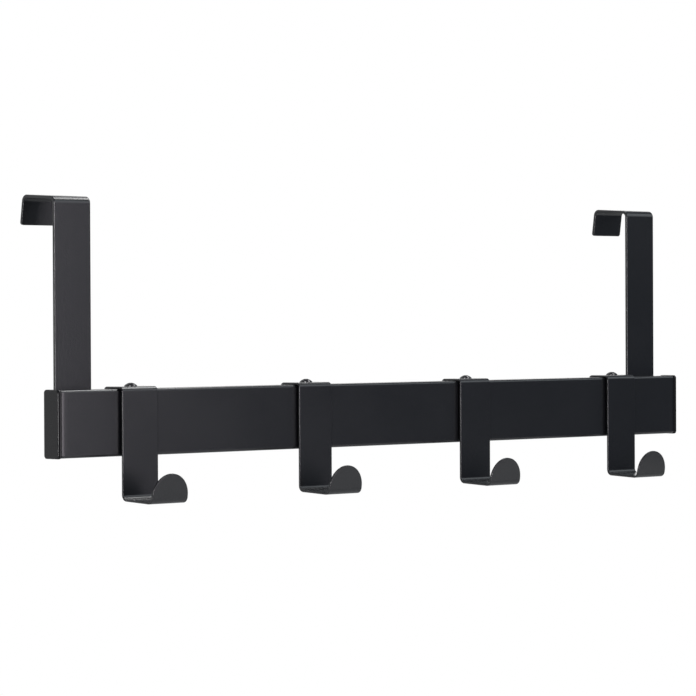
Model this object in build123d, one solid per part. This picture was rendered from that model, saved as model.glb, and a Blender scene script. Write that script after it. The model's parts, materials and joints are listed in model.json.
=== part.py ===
from build123d import *
from math import radians, tan
import os

# Over-door hook rail: a capped rectangular tube hung from two folded door brackets, with folded hooks.
# Millimetres. X runs along the rail (+X is the right end seen from the room), +Y points into the door
# and +Z is up. The origin is the middle of the door's top front edge: Y = 0 is the door's face, where
# the brackets' strips lie, and Z = 0 is the door's top, where their top plates rest.

# Rail: a welded rectangular steel tube, closed by a moulded cap at each end
rail_length = 500.0  # over the end caps
rail_height = 36.5
rail_depth = 12.0
rail_wall = 1.2
rail_corner = 1.5  # outside radius of the tube's long edges
rail_bore_corner = 0.4  # inside radius of the same edges
rail_cut_edge = 0.5  # rounding left on the tube's sawn ends
rail_drop = 102.5  # from the door's top down to the rail's top

# End caps: a flange over the tube's end and a hollow plug with crush ribs inside it
cap_flange = 2.4
cap_proud = 0.3  # how far the flange stands out past the tube's faces
cap_edge = 0.8  # rounding of the flange's outer edge
cap_seam_edge = 0.4  # rounding of the flange's edge next to the tube
cap_plug_length = 12.0
cap_plug_wall = 1.2
cap_plug_clearance = 0.25
cap_plug_corner = 1.0
cap_rib_width = 1.0
cap_rib_end = 2.5  # how far the ribs stop short of the plug's free end
cap_rib_spacing = 18.0  # between the two ribs of a broad side

# Door brackets: flat strip folded over the door's top, with a flared lip behind the door
bracket_width = 25.0
bracket_thickness = 1.8
bracket_bend = 2.0  # inside radius of the two folds
bracket_inset = 7.9  # from the rail's end to the strip's outer edge
bracket_foot_gap = 4.0  # from the rail's underside up to the strip's lower end
bracket_foot_corner = 3.0  # corner radius of the strip's lower end
bracket_edge = 0.4  # rounding of the strip's rims
door_gap = 24.5  # between strip and lip, at the door's top
top_rise = 3.3  # degrees by which the top plate climbs towards the lip
lip_length = 15.0
lip_flare = 8.0  # degrees by which the lip leans away from the door
lip_corner = 1.5

# Hooks: sheet strip folded over the rail, down in front of it and up again into a round tongue
hook_count = 4
hook_width = 25.0
hook_thickness = 1.2
hook_space = 9.6  # clear space between a bracket and the hook next to it
hook_front_gap = 1.55  # between the rail's face and the hook's front plate
hook_back_gap = 0.35  # between the rail's back and the hook's lip
hook_lip = 9.0  # drop of the lip behind the rail
hook_lip_corner = 2.0
hook_drop = 24.2  # from the rail's underside to the base, below the front plate
hook_reach = 23.0  # clear space between front plate and tongue, at the base
base_droop = 2.5  # degrees by which the base falls towards the tongue
hook_top_bend = 1.4  # inside radius of the two folds over the rail
hook_low_bend = 2.4  # inside radius of the two folds at the base
hook_edge = 0.35  # rounding of the sheet's rims
tongue_straight = 0.8  # between the last fold and the start of the round end
tongue_lean = 8.5  # degrees by which the tongue leans outwards

# Domed screw that holds each hook to the rail's top wall
hook_screw_diameter = 4.0
hook_screw_length = 8.0
hook_screw_head = 7.2
hook_screw_head_height = 2.0
hook_screw_rim = 0.4  # straight part of the head's side
hook_screw_recess = 4.0  # span of the cross recess
hook_screw_recess_depth = 1.1

# Countersunk screws that hold each bracket to the rail's back wall, flush with the strip
bracket_screw_count = 2
bracket_screw_spacing = 18.0
bracket_screw_diameter = 3.0
bracket_screw_length = 6.0
bracket_screw_head = 5.6
bracket_screw_head_height = 1.3
bracket_screw_recess = 3.0
bracket_screw_recess_depth = 0.8

# Details that both kinds of screw share
screw_clearance = 0.1  # around a shank, on the radius
screw_tip = 0.6  # chamfer at the shank's end
recess_slot = 0.8  # width of each arm of a cross recess
recess_taper = 8.0  # degrees by which the recess narrows on its way down

# Places that the pieces share
rail_back = -bracket_thickness
rail_front = rail_back - rail_depth
rail_middle = Pos(0, rail_back - rail_depth / 2, -rail_drop - rail_height / 2)
rail_top = -rail_drop
rail_bottom = rail_top - rail_height
bore_height = rail_height - 2 * rail_wall
bore_depth = rail_depth - 2 * rail_wall
tube_end = rail_length / 2 - cap_flange
bracket_x = rail_length / 2 - bracket_inset - bracket_width / 2
strip_foot = rail_bottom + bracket_foot_gap
last_hook_x = bracket_x - bracket_width / 2 - hook_space - hook_width / 2
hook_pitch = 2 * last_hook_x / (hook_count - 1)
hook_places = [i * hook_pitch - last_hook_x for i in range(hook_count)]
hook_lip_y = rail_back + hook_back_gap
hook_plate_y = rail_front - hook_front_gap
hook_screw_y = (hook_lip_y + hook_plate_y) / 2
hook_seats = [Pos(x, hook_screw_y, rail_top) for x in hook_places]
screw_row = [i - (bracket_screw_count - 1) / 2 for i in range(bracket_screw_count)]
screw_heights = [rail_bottom + rail_height / 2 + i * bracket_screw_spacing for i in screw_row]
screw_places = [(x, z) for x in (-bracket_x, bracket_x) for z in screw_heights]
into_rail = Rot(X=-90)  # turns a screw that points down so that it points from the door into the rail


# Edges where two faces meet at an angle, and not fold lines, where one face runs on into the next
def sharp_edges(solid):
    meeting = {}
    for face in solid.faces():
        for edge in face.edges():
            meeting.setdefault(edge, []).append(face.normal_at(edge @ 0.5))
    return ShapeList(edge for edge, (one, other) in meeting.items() if one.get_angle(other) > 1)


# Strip of sheet whose one skin follows (y, z) points, folded at each point between the first and last
def folded_strip(skin, radii, thickness, side, width):
    section = make_face(offset(FilletPolyline(*skin, radius=radii), amount=thickness, side=side).edges())
    return extrude(Plane.YZ * section, width / 2, both=True)


# Bar with rounded long edges that runs along X from X = 0
def rounded_bar(depth, height, corner, length):
    return extrude(Plane.YZ * RectangleRounded(depth, height, corner), length)


# Rod or hole along Z that ends at Z = 0
def rod(diameter, length):
    return Cylinder(diameter / 2, length, align=(Align.CENTER, Align.CENTER, Align.MAX))


# Clear hole for a screw's shank, from Z = 0 down
def shank_hole(diameter, depth):
    return rod(diameter + 2 * screw_clearance, depth)


# Screw that points down, from a head whose seat is at Z = 0
def screw(head, diameter, length, recess, recess_depth):
    shank = rod(diameter, length)
    shank = chamfer(shank.edges().group_by(Axis.Z)[0], screw_tip)
    cross = Rectangle(recess, recess_slot) + Rectangle(recess_slot, recess)
    top = Pos(0, 0, head.bounding_box().max.Z)
    return head + shank - top * extrude(cross, -recess_depth, taper=recess_taper)


# Domed head that stands on Z = 0
def domed_head():
    radius = hook_screw_head / 2
    dome_height = hook_screw_head_height - hook_screw_rim
    dome_radius = (radius**2 + dome_height**2) / (2 * dome_height)
    rim = Cylinder(radius, hook_screw_rim, align=(Align.CENTER, Align.CENTER, Align.MIN))
    ball = Pos(0, 0, hook_screw_head_height - dome_radius) * Sphere(dome_radius)
    return rim + split(ball, Plane.XY.offset(hook_screw_rim))


# Cone of a flush head, and of the seat that it fills, with its wide end at Z = 0
def flush_head():
    small = bracket_screw_diameter / 2
    large = bracket_screw_head / 2
    return Cone(small, large, bracket_screw_head_height, align=(Align.CENTER, Align.CENTER, Align.MAX))


def make_rail_tube():
    outside = rounded_bar(rail_depth, rail_height, rail_corner, 2 * tube_end)
    outside = fillet(outside.faces().filter_by(Axis.X).edges(), rail_cut_edge)
    bore = rounded_bar(bore_depth, bore_height, rail_bore_corner, 2 * tube_end)
    tube = rail_middle * Pos(-tube_end, 0, 0) * (outside - bore)
    for seat in hook_seats:
        tube -= seat * shank_hole(hook_screw_diameter, 2 * rail_wall)
    for x, z in screw_places:
        tube -= Pos(x, rail_back, z) * into_rail * shank_hole(bracket_screw_diameter, 2 * rail_wall)
    return tube


# Cap for the right end, with the tube's end at X = 0: the flange lies past it and the plug inside the tube
def make_end_cap():
    flange_depth = rail_depth + 2 * cap_proud
    flange_height = rail_height + 2 * cap_proud
    flange = rounded_bar(flange_depth, flange_height, rail_corner + cap_proud, cap_flange)
    flange = fillet(flange.faces().sort_by(Axis.X)[-1].edges(), cap_edge)
    flange = fillet(flange.faces().sort_by(Axis.X)[0].edges(), cap_seam_edge)
    plug_depth = bore_depth - 2 * cap_plug_clearance
    plug_height = bore_height - 2 * cap_plug_clearance
    plug = rounded_bar(plug_depth, plug_height, cap_plug_corner, -cap_plug_length)
    ribs = Rectangle(cap_rib_width, bore_height)
    for side in (-1, 1):
        ribs += Pos(0, side * cap_rib_spacing / 2) * Rectangle(bore_depth, cap_rib_width)
    plug += extrude(Plane.YZ * ribs, cap_rib_end - cap_plug_length)
    hollow = Rectangle(plug_depth - 2 * cap_plug_wall, plug_height - 2 * cap_plug_wall)
    plug -= extrude(Plane.YZ * hollow, -cap_plug_length)
    return flange + plug


# Bracket on the middle plane X = 0. Its skin faces the door, from the strip's foot to the lip's end
def make_door_bracket():
    back_fold = Vector(door_gap, 0).rotate(Axis.Z, top_rise)
    lip_end = back_fold + Vector(0, -lip_length).rotate(Axis.Z, lip_flare)
    skin = [(0, strip_foot), (0, 0), back_fold, lip_end]
    bracket = folded_strip(skin, bracket_bend, bracket_thickness, Side.LEFT, bracket_width)
    foot = bracket.faces().filter_by(Axis.Z).sort_by(Axis.Z)[0]
    bracket = fillet(foot.edges().filter_by(Axis.Y), bracket_foot_corner)
    across_lip = Axis((0, 0, 0), Vector(0, 1, 0).rotate(Axis.X, lip_flare))
    bracket = fillet(bracket.edges().filter_by(across_lip), lip_corner)
    bracket = fillet(sharp_edges(bracket), bracket_edge)
    for z in screw_heights:
        seat = Pos(0, 0, z) * into_rail
        bracket -= seat * flush_head()
        bracket -= seat * shank_hole(bracket_screw_diameter, 2 * bracket_thickness)
    return bracket


# Hook on the middle plane X = 0. Its skin faces the rail, then turns under the base and up the tongue
def make_hook():
    base_start = Vector(hook_plate_y, rail_bottom - hook_drop)
    along_base = Vector(-1, 0).rotate(Axis.Z, base_droop)
    base_end = base_start + along_base * (hook_reach + 2 * hook_thickness)
    outer_bend = hook_low_bend + hook_thickness
    tongue_turn = 90 + base_droop - tongue_lean
    round_start = outer_bend * tan(radians(tongue_turn / 2)) + tongue_straight
    up_tongue = Vector(0, 1).rotate(Axis.Z, tongue_lean)
    round_middle = base_end + up_tongue * round_start
    tip = round_middle + up_tongue * (hook_width / 2)
    over_rail = [(hook_lip_y, rail_top - hook_lip), (hook_lip_y, rail_top), (hook_plate_y, rail_top)]
    skin = over_rail + [base_start, base_end, tip]
    radii = [hook_top_bend, hook_top_bend, outer_bend, outer_bend]
    hook = folded_strip(skin, radii, hook_thickness, Side.RIGHT, hook_width)
    lip_end = hook.faces().filter_by(Axis.Z).sort_by(SortBy.AREA)[0]
    hook = fillet(lip_end.edges().filter_by(Axis.Y), hook_lip_corner)
    out_of_tongue = Vector(0, -1, 0).rotate(Axis.X, tongue_lean)
    front = Plane((0, round_middle.X, round_middle.Y), (1, 0, 0), out_of_tongue)
    corners = Pos(0, hook_width / 2) * Rectangle(2 * hook_width, hook_width) - Circle(hook_width / 2)
    hook -= extrude(front * corners, 2 * hook_thickness, both=True)
    hook = fillet(sharp_edges(hook), hook_edge)
    return hook - Pos(0, hook_screw_y, rail_top + hook_thickness) * shank_hole(
        hook_screw_diameter, 2 * hook_thickness
    )


end_cap = Pos(tube_end, 0, 0) * make_end_cap()
door_bracket = make_door_bracket()
hook = make_hook()
hook_screw = screw(
    domed_head(), hook_screw_diameter, hook_screw_length,
    hook_screw_recess, hook_screw_recess_depth,
)
bracket_screw = screw(
    flush_head(), bracket_screw_diameter, bracket_screw_length,
    bracket_screw_recess, bracket_screw_recess_depth,
)

pieces = {
    "rail_tube": make_rail_tube(),
    "end_cap_left": rail_middle * Rot(Z=180) * end_cap,
    "end_cap_right": rail_middle * end_cap,
    "door_bracket_left": Pos(-bracket_x, 0, 0) * door_bracket,
    "door_bracket_right": Pos(bracket_x, 0, 0) * door_bracket,
    "hook_screws": Compound([seat * Pos(0, 0, hook_thickness) * hook_screw for seat in hook_seats]),
    "bracket_screws": Compound([Pos(x, 0, z) * into_rail * bracket_screw for x, z in screw_places]),
}
for number, x in enumerate(hook_places, start=1):
    pieces[f"hook_{number}"] = Pos(x, 0, 0) * hook

os.makedirs("parts", exist_ok=True)
for name, piece in pieces.items():
    export_step(piece, f"parts/{name}.step")
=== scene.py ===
import bpy
import json
from math import radians
from mathutils import Matrix, Vector


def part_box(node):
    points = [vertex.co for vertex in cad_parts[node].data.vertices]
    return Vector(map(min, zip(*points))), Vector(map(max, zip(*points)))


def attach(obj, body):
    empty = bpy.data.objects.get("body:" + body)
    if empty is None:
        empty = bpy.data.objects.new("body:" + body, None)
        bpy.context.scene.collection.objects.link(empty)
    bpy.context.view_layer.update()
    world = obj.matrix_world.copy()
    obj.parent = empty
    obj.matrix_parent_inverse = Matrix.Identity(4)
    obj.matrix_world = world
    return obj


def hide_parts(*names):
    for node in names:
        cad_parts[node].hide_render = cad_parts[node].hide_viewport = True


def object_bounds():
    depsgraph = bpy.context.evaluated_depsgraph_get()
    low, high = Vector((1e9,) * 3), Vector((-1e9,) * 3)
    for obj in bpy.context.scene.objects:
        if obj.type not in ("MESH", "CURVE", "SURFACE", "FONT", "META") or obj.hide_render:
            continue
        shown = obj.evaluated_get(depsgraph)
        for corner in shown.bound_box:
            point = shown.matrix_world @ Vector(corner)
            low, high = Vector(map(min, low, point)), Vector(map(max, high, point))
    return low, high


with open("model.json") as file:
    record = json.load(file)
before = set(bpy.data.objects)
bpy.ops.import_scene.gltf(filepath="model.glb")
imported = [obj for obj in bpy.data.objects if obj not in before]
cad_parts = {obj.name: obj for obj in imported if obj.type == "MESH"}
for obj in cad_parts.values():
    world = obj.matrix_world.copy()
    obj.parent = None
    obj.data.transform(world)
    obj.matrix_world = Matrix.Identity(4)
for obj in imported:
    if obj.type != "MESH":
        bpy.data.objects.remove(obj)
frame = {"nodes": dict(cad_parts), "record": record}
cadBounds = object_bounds()  # the box round the part as imported
cadNodes = frame["nodes"]
print("frame loaded with", len(cadNodes), "nodes")


# helpers for node trees, where a source is a socket to link or a plain value to set

def feed(tree, source, socket):
    if isinstance(source, bpy.types.NodeSocket):
        tree.links.new(source, socket)
    else:
        socket.default_value = source


def addNode(tree, kind, sources=None, **settings):
    node = tree.nodes.new(kind)
    for name, value in settings.items():
        setattr(node, name, value)
    if sources:
        for socket, source in sources.items():
            feed(tree, source, node.inputs[socket])
    return node


def calc(tree, operation, *sources):
    return addNode(tree, "ShaderNodeMath", dict(enumerate(sources)), operation=operation).outputs["Value"]


def highest(tree, sources):
    top = sources[0]
    for source in sources[1:]:
        top = calc(tree, "MAXIMUM", top, source)
    return top


def ramp(tree, source, fromSpan=(0.0, 1.0), toSpan=(0.0, 1.0), easing="LINEAR"):
    ends = {
        "Value": source,
        "From Min": fromSpan[0], "From Max": fromSpan[1],
        "To Min": toSpan[0], "To Max": toSpan[1],
    }
    return addNode(tree, "ShaderNodeMapRange", ends, interpolation_type=easing).outputs["Result"]


mixPorts = {"factor": 0, "first": 6, "second": 7, "result": 2}  # the colour sockets of a Mix node


def mixColours(tree, factor, first, second):
    sources = {mixPorts["factor"]: factor, mixPorts["first"]: first, mixPorts["second"]: second}
    return addNode(tree, "ShaderNodeMix", sources, data_type="RGBA").outputs[mixPorts["result"]]


def newGroup(name, takes, gives):
    group = bpy.data.node_groups.new(name, "ShaderNodeTree")
    for socket, kind in takes.items():
        group.interface.new_socket(socket, in_out="INPUT", socket_type=kind)
    for socket in gives:
        group.interface.new_socket(socket, in_out="OUTPUT", socket_type="NodeSocketFloat")
    return group, addNode(group, "NodeGroupInput").outputs, addNode(group, "NodeGroupOutput").inputs


# powder coat grain: fine orange peel, with slow drifts of tone and gloss along a piece

grainLook = {
    "peel": {"Detail": 2.0, "Roughness": 0.6},
    "drift": {"Detail": 3.0, "Roughness": 0.5},
    "glossSpan": (0.6, 1.4),  # what peel and drift mostly add up to
}


def makePowderGrain():
    takes = {"Place": "NodeSocketVector", "Peel Scale": "NodeSocketFloat", "Drift Scale": "NodeSocketFloat"}
    group, given, result = newGroup("powderGrain", takes, ("Height", "Tone", "Gloss"))
    peelSources = {"Vector": given["Place"], "Scale": given["Peel Scale"], **grainLook["peel"]}
    driftSources = {"Vector": given["Place"], "Scale": given["Drift Scale"], **grainLook["drift"]}
    peel = addNode(group, "ShaderNodeTexNoise", peelSources).outputs["Fac"]
    drift = addNode(group, "ShaderNodeTexNoise", driftSources).outputs["Fac"]
    feed(group, peel, result["Height"])
    feed(group, drift, result["Tone"])
    feed(group, calc(group, "ADD", peel, drift), result["Gloss"])
    return group


powderGrain = makePowderGrain()


# end caps: a narrow shadow groove runs round each flange, just behind its outer plate

capGroove = {
    "nodes": ("end_cap_left", "end_cap_right"),
    "plate": 0.00055,  # metres from the outer face to the groove
    "width": 0.00060,
    "depth": 0.0009,
    "mergeWithin": 0.000001,
    "smoothBelow": 35.0,  # degrees
    "flatWeight": 100,  # lets the large faces set the shading
}


def cutGroove(node):
    bpy.ops.object.select_all(action="DESELECT")
    cap = bpy.data.objects.new(node + "_grooved", cadNodes[node].data.copy())
    bpy.context.scene.collection.objects.link(cap)
    cap.select_set(True)
    bpy.context.view_layer.objects.active = cap
    low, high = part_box(node)
    outer, inwards = (low.x, 1.0) if low.x < 0.0 else (high.x, -1.0)
    near = outer + inwards * capGroove["plate"]
    far = near + inwards * capGroove["width"]
    bpy.ops.object.mode_set(mode="EDIT")
    bpy.ops.mesh.select_all(action="SELECT")
    bpy.ops.mesh.remove_doubles(threshold=capGroove["mergeWithin"])  # a node comes as loose triangles
    for cut in (near, far):
        bpy.ops.mesh.select_all(action="SELECT")
        bpy.ops.mesh.bisect(plane_co=(cut, 0.0, 0.0), plane_no=(1.0, 0.0, 0.0))
    bpy.ops.mesh.select_all(action="DESELECT")
    bpy.ops.object.mode_set(mode="OBJECT")
    for face in cap.data.polygons:
        face.select = min(near, far) < face.center.x < max(near, far)
    bpy.ops.object.mode_set(mode="EDIT")
    bpy.ops.mesh.select_mode(type="FACE")
    bpy.ops.mesh.inset(thickness=0.0, depth=-capGroove["depth"], use_even_offset=False)
    bpy.ops.mesh.select_all(action="SELECT")
    bpy.ops.mesh.normals_make_consistent(inside=False)
    bpy.ops.object.mode_set(mode="OBJECT")
    bpy.ops.mesh.customdata_custom_splitnormals_clear()
    bpy.ops.object.shade_smooth_by_angle(angle=radians(capGroove["smoothBelow"]))
    flat = cap.modifiers.new("flatFaces", "WEIGHTED_NORMAL")
    flat.keep_sharp = True
    flat.weight = capGroove["flatWeight"]
    bpy.ops.object.modifier_apply(modifier=flat.name)
    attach(cap, "root")
    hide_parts(node)


# seam between tube and caps: painted shade, black in the joint and in the caps' grooves, and coat that rolls
# off at the tube's cut ends

seamLook = {
    "at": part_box("rail_tube")[1][0],  # the tube ends as far out on both sides
    "flange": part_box("end_cap_right")[1][0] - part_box("rail_tube")[1][0],
    # black painted shade for the joint and the caps' grooves
    "darkTone": (0.0, 0.0, 0.0, 1.0),
    "shadeWidth": (0.00050, 0.00020),  # metres from the joint, where the painted shade starts and where it is fully black
    "grooveLip": 0.00003,  # painted shade fills the caps' groove to just past its rims
    "rollReach": 0.006,  # metres from the joint, where the roll starts
    "rollPower": 3.3,  # keeps it flat until close to the joint
    "rollDrop": 0.00042,  # metres lower at the joint
    "polish": (0.0024, 0.0009),  # metres from the joint, where the coat turns smoother
}


def makeSeamEdge():
    takes = {"Place": "NodeSocketVector"}
    group, given, result = newGroup("seamEdge", takes, ("Seam", "Roll", "Polish"))
    axes = addNode(group, "ShaderNodeSeparateXYZ", {"Vector": given["Place"]}).outputs
    fromMiddle = calc(group, "ABSOLUTE", axes["X"])
    inwards = calc(group, "SUBTRACT", seamLook["at"], fromMiddle)  # metres from the joint into the tube
    # painted shade in the joint between tube and cap
    joint = ramp(group, calc(group, "ABSOLUTE", inwards), seamLook["shadeWidth"], easing="SMOOTHSTEP")
    halfGroove = 0.5 * capGroove["width"]
    grooveOut = seamLook["flange"] - capGroove["plate"] - halfGroove  # from the joint to the groove's middle
    fromGroove = calc(group, "ABSOLUTE", calc(group, "ADD", inwards, grooveOut))
    # painted shade on the faces inside the caps' grooves
    groove = calc(group, "LESS_THAN", fromGroove, halfGroove + seamLook["grooveLip"])
    feed(group, highest(group, [joint, groove]), result["Seam"])
    nearJoint = ramp(group, inwards, (seamLook["rollReach"], 0.0))
    roll = calc(group, "POWER", nearJoint, seamLook["rollPower"])
    feed(group, calc(group, "MULTIPLY", roll, -seamLook["rollDrop"]), result["Roll"])
    feed(group, ramp(group, inwards, seamLook["polish"], easing="SMOOTHSTEP"), result["Polish"])
    return group


seamEdge = makeSeamEdge()


# finishes: one look for each material slot, with the seam's painted shade and rolled coat on the tube and
# its caps

seamedNodes = ("rail_tube", *capGroove["nodes"])
coatLooks = {
    "black_powder_coat": {  # satin coat on folded steel
        "darkTone": (0.0040, 0.0043, 0.0055, 1.0),
        "lightTone": (0.0056, 0.0060, 0.0074, 1.0),
        "roughness": (0.34, 0.44),
        "specular": 0.4,
        "skin": 0.8,  # the clear, smoother skin of the cured coat
        "skinRoughness": 0.13,
        "peelScale": 950.0,  # grains in a metre
        "driftScale": 22.0,
        "peelDepth": 0.00009,  # metres
        "endRoughness": 0.13,  # where it flows out at the tube's ends
    },
    "black_cap_plastic": {  # smooth moulded caps
        "darkTone": (0.0060, 0.0060, 0.0066, 1.0),
        "lightTone": (0.0085, 0.0085, 0.0092, 1.0),
        "roughness": (0.22, 0.30),
        "specular": 0.5,
        "peelScale": 2600.0,
        "driftScale": 60.0,
        "peelDepth": 0.000006,
    },
    "black_screw_steel": {  # blackened screws
        "darkTone": (0.0070, 0.0070, 0.0076, 1.0),
        "lightTone": (0.014, 0.014, 0.015, 1.0),
        "roughness": (0.24, 0.34),
        "specular": 0.5,
        "skin": 0.6,
        "skinRoughness": 0.12,
        "peelScale": 3000.0,
        "driftScale": 300.0,
        "peelDepth": 0.000005,
    },
}


def makeCoat(name, look, seamed):
    material = bpy.data.materials.new(name)
    material.use_nodes = True
    tree = material.node_tree
    shader = tree.nodes["Principled BSDF"].inputs
    shader["Specular IOR Level"].default_value = look["specular"]
    if "skin" in look:
        shader["Coat Weight"].default_value = look["skin"]
        shader["Coat Roughness"].default_value = look["skinRoughness"]
    place = addNode(tree, "ShaderNodeTexCoord").outputs["Object"]
    scales = {"Place": place, "Peel Scale": look["peelScale"], "Drift Scale": look["driftScale"]}
    grain = addNode(tree, "ShaderNodeGroup", scales, node_tree=powderGrain).outputs
    colour = mixColours(tree, grain["Tone"], look["darkTone"], look["lightTone"])
    dullness = ramp(tree, grain["Gloss"], grainLook["glossSpan"], look["roughness"])
    height = calc(tree, "MULTIPLY", grain["Height"], look["peelDepth"])
    if seamed:
        edge = addNode(tree, "ShaderNodeGroup", {"Place": place}, node_tree=seamEdge).outputs
        # painted shade: black in the joint and in the caps' grooves
        colour = mixColours(tree, edge["Seam"], colour, seamLook["darkTone"])
        if "endRoughness" in look:
            dullness = ramp(tree, edge["Polish"], toSpan=(dullness, look["endRoughness"]))
        dullness = calc(tree, "MAXIMUM", dullness, edge["Seam"])
        height = calc(tree, "ADD", height, edge["Roll"])
        if "skin" in look:  # no skin reaches into the joint
            feed(tree, ramp(tree, edge["Seam"], toSpan=(look["skin"], 0.0)), shader["Coat Weight"])
    feed(tree, colour, shader["Base Color"])
    feed(tree, dullness, shader["Roughness"])
    relief = {"Strength": 1.0, "Distance": 1.0, "Height": height}  # so that heights are in metres
    feed(tree, addNode(tree, "ShaderNodeBump", relief).outputs["Normal"], shader["Normal"])
    return material


finishes = {}
for piece in frame["record"]["subparts"]:
    slot = piece["material_slot"]
    seamed = piece["node"] in seamedNodes
    name = slot + "_seamed" if seamed else slot
    if name not in finishes:
        finishes[name] = makeCoat(name, coatLooks[slot], seamed)
    mesh = cadNodes[piece["node"]].data
    mesh.materials.clear()
    mesh.materials.append(finishes[name])
print("materials set")

for node in capGroove["nodes"]:
    cutGroove(node)
print("caps grooved")


# stage: a pale floor well below the hanging part, and a sky that is dark in front and light behind it

stage = {
    "floorDrop": 0.30,  # below the lowest hook
    "floorRadius": 1.5,
    "floorSides": 96,
    "floorTone": (0.55, 0.57, 0.56, 1.0),
    "floorRoughness": 0.9,
    "floorGlow": (0.08, 0.75),  # painted glow for camera, glossy and transmission rays: brings the floor up to white, from its middle to its rim
    "glowTint": (1.0, 0.985, 1.0, 1.0),
    "glowFade": (0.35, 1.5),  # metres from the middle, where the painted glow starts and ends
    "glowPower": 2.4,  # keeps the painted glow low under the part, which leaves a painted darker patch there
    "skyDark": (0.085, 0.097, 0.119, 1.0),
    "skyWhite": (1.0, 1.0, 1.0, 1.0),
    "skyParts": (  # white straight behind the part as the camera sees it, half as light on the door's side
        {"towards": (0.687, 0.726, 0.0), "turn": (0.80, 0.97), "level": 1.0},
        {"towards": (-0.1, 0.995, 0.0), "turn": (0.1, 0.7), "level": 0.5},
    ),
}


def makeFloor():
    bpy.ops.object.select_all(action="DESELECT")
    height = cadBounds[0][2] - stage["floorDrop"]
    bpy.ops.mesh.primitive_circle_add(
        vertices=stage["floorSides"], radius=stage["floorRadius"], fill_type="NGON", location=(0, 0, height)
    )
    floor = bpy.context.object
    floor.name = "studioFloor"
    material = bpy.data.materials.new("paleFloor")
    material.use_nodes = True
    tree = material.node_tree
    shader = tree.nodes["Principled BSDF"].inputs
    shader["Base Color"].default_value = stage["floorTone"]
    shader["Roughness"].default_value = stage["floorRoughness"]
    shader["Emission Color"].default_value = stage["glowTint"]
    path = addNode(tree, "ShaderNodeLightPath").outputs
    rays = ("Is Camera Ray", "Is Glossy Ray", "Is Transmission Ray")
    seen = highest(tree, [path[ray] for ray in rays])
    place = addNode(tree, "ShaderNodeTexCoord").outputs["Object"]
    fromMiddle = addNode(tree, "ShaderNodeVectorMath", {0: place}, operation="LENGTH").outputs["Value"]
    # painted glow, weak under the part and white at the rim, seen only by camera, glossy and transmission
    # rays
    fade = calc(tree, "POWER", ramp(tree, fromMiddle, stage["glowFade"]), stage["glowPower"])
    glow = ramp(tree, fade, toSpan=stage["floorGlow"])
    feed(tree, calc(tree, "MULTIPLY", seen, glow), shader["Emission Strength"])
    floor.data.materials.append(material)


def makeSky():
    world = bpy.data.worlds.new("studioSky")
    bpy.context.scene.world = world
    world.use_nodes = True
    tree = world.node_tree
    place = addNode(tree, "ShaderNodeTexCoord").outputs["Generated"]
    path = addNode(tree, "ShaderNodeLightPath").outputs
    levels = [path[ray] for ray in ("Is Camera Ray", "Is Transmission Ray")]
    for part in stage["skyParts"]:
        sides = {0: place, 1: part["towards"]}
        facing = addNode(tree, "ShaderNodeVectorMath", sides, operation="DOT_PRODUCT").outputs["Value"]
        levels.append(ramp(tree, facing, part["turn"], (0.0, part["level"]), "SMOOTHSTEP"))
    sky = mixColours(tree, highest(tree, levels), stage["skyDark"], stage["skyWhite"])
    feed(tree, sky, tree.nodes["Background"].inputs["Color"])


# soft boxes: one above, one before the part, one at its left end and a large dim one at its right

lamps = {
    "topBox": {
        "place": (0.75, -0.10, 1.10), "aim": (-0.1, 0.0, -0.05), "size": (0.9, 0.20),
        "watts": 3.6, "tint": (1.0, 1.0, 1.0),
    },
    "keyBox": {
        "place": (-0.02, -0.70, -0.03), "aim": (-0.25, 0.0, -0.1), "size": (0.4, 0.5),
        "watts": 2.35, "tint": (1.0, 0.93, 1.0),
    },
    "edgeBox": {
        "place": (-1.20, -0.80, -0.02), "aim": (0.0, 0.0, -0.1), "size": (0.26, 0.36),
        "watts": 8.4, "tint": (1.0, 0.98, 1.0),
    },
    "rightBox": {
        "place": (0.95, -0.75, 0.50), "aim": (0.2, 0.0, -0.05), "size": (1.2, 0.6),
        "watts": 2.3, "tint": (0.9, 0.96, 1.0),
    },
}


def makeLamp(name, look):
    bpy.ops.object.select_all(action="DESELECT")
    bpy.ops.object.light_add(type="AREA", location=look["place"])
    lamp = bpy.context.object
    lamp.name = name
    lamp.data.shape = "RECTANGLE"
    lamp.data.size, lamp.data.size_y = look["size"]
    lamp.data.energy = look["watts"]
    lamp.data.color = look["tint"]
    lamp.visible_camera = False
    towards = Vector(look["aim"]) - Vector(look["place"])
    lamp.rotation_euler = towards.to_track_quat("-Z", "Y").to_euler()


makeFloor()
makeSky()
for name, look in lamps.items():
    makeLamp(name, look)
print("stage set")


# camera, as the photograph was taken: nearly level, turned from the door's normal towards the right end

view = {
    "place": (-1.36542, -1.41768, -0.06270),
    "turn": 43.42,  # degrees
    "tiltDown": 0.573,
    "roll": -0.263,
    "lens": 173.5,  # millimetres
    "sensor": 36.0,  # millimetres
    "farthest": 200.0,  # metres
}


def makeCamera():
    data = bpy.data.cameras.new("photoView")
    data.lens = view["lens"]
    data.sensor_width = view["sensor"]
    data.clip_end = view["farthest"]
    camera = bpy.data.objects.new("photoView", data)
    bpy.context.scene.collection.objects.link(camera)
    turn = Matrix.Rotation(radians(-view["turn"]), 4, "Z")
    tilt = Matrix.Rotation(radians(90.0 - view["tiltDown"]), 4, "X")
    roll = Matrix.Rotation(radians(view["roll"]), 4, "Z")
    camera.matrix_world = Matrix.Translation(view["place"]) @ turn @ tilt @ roll
    bpy.context.scene.camera = camera


makeCamera()
bpy.context.scene.view_settings.view_transform = "Standard"
print("camera set")
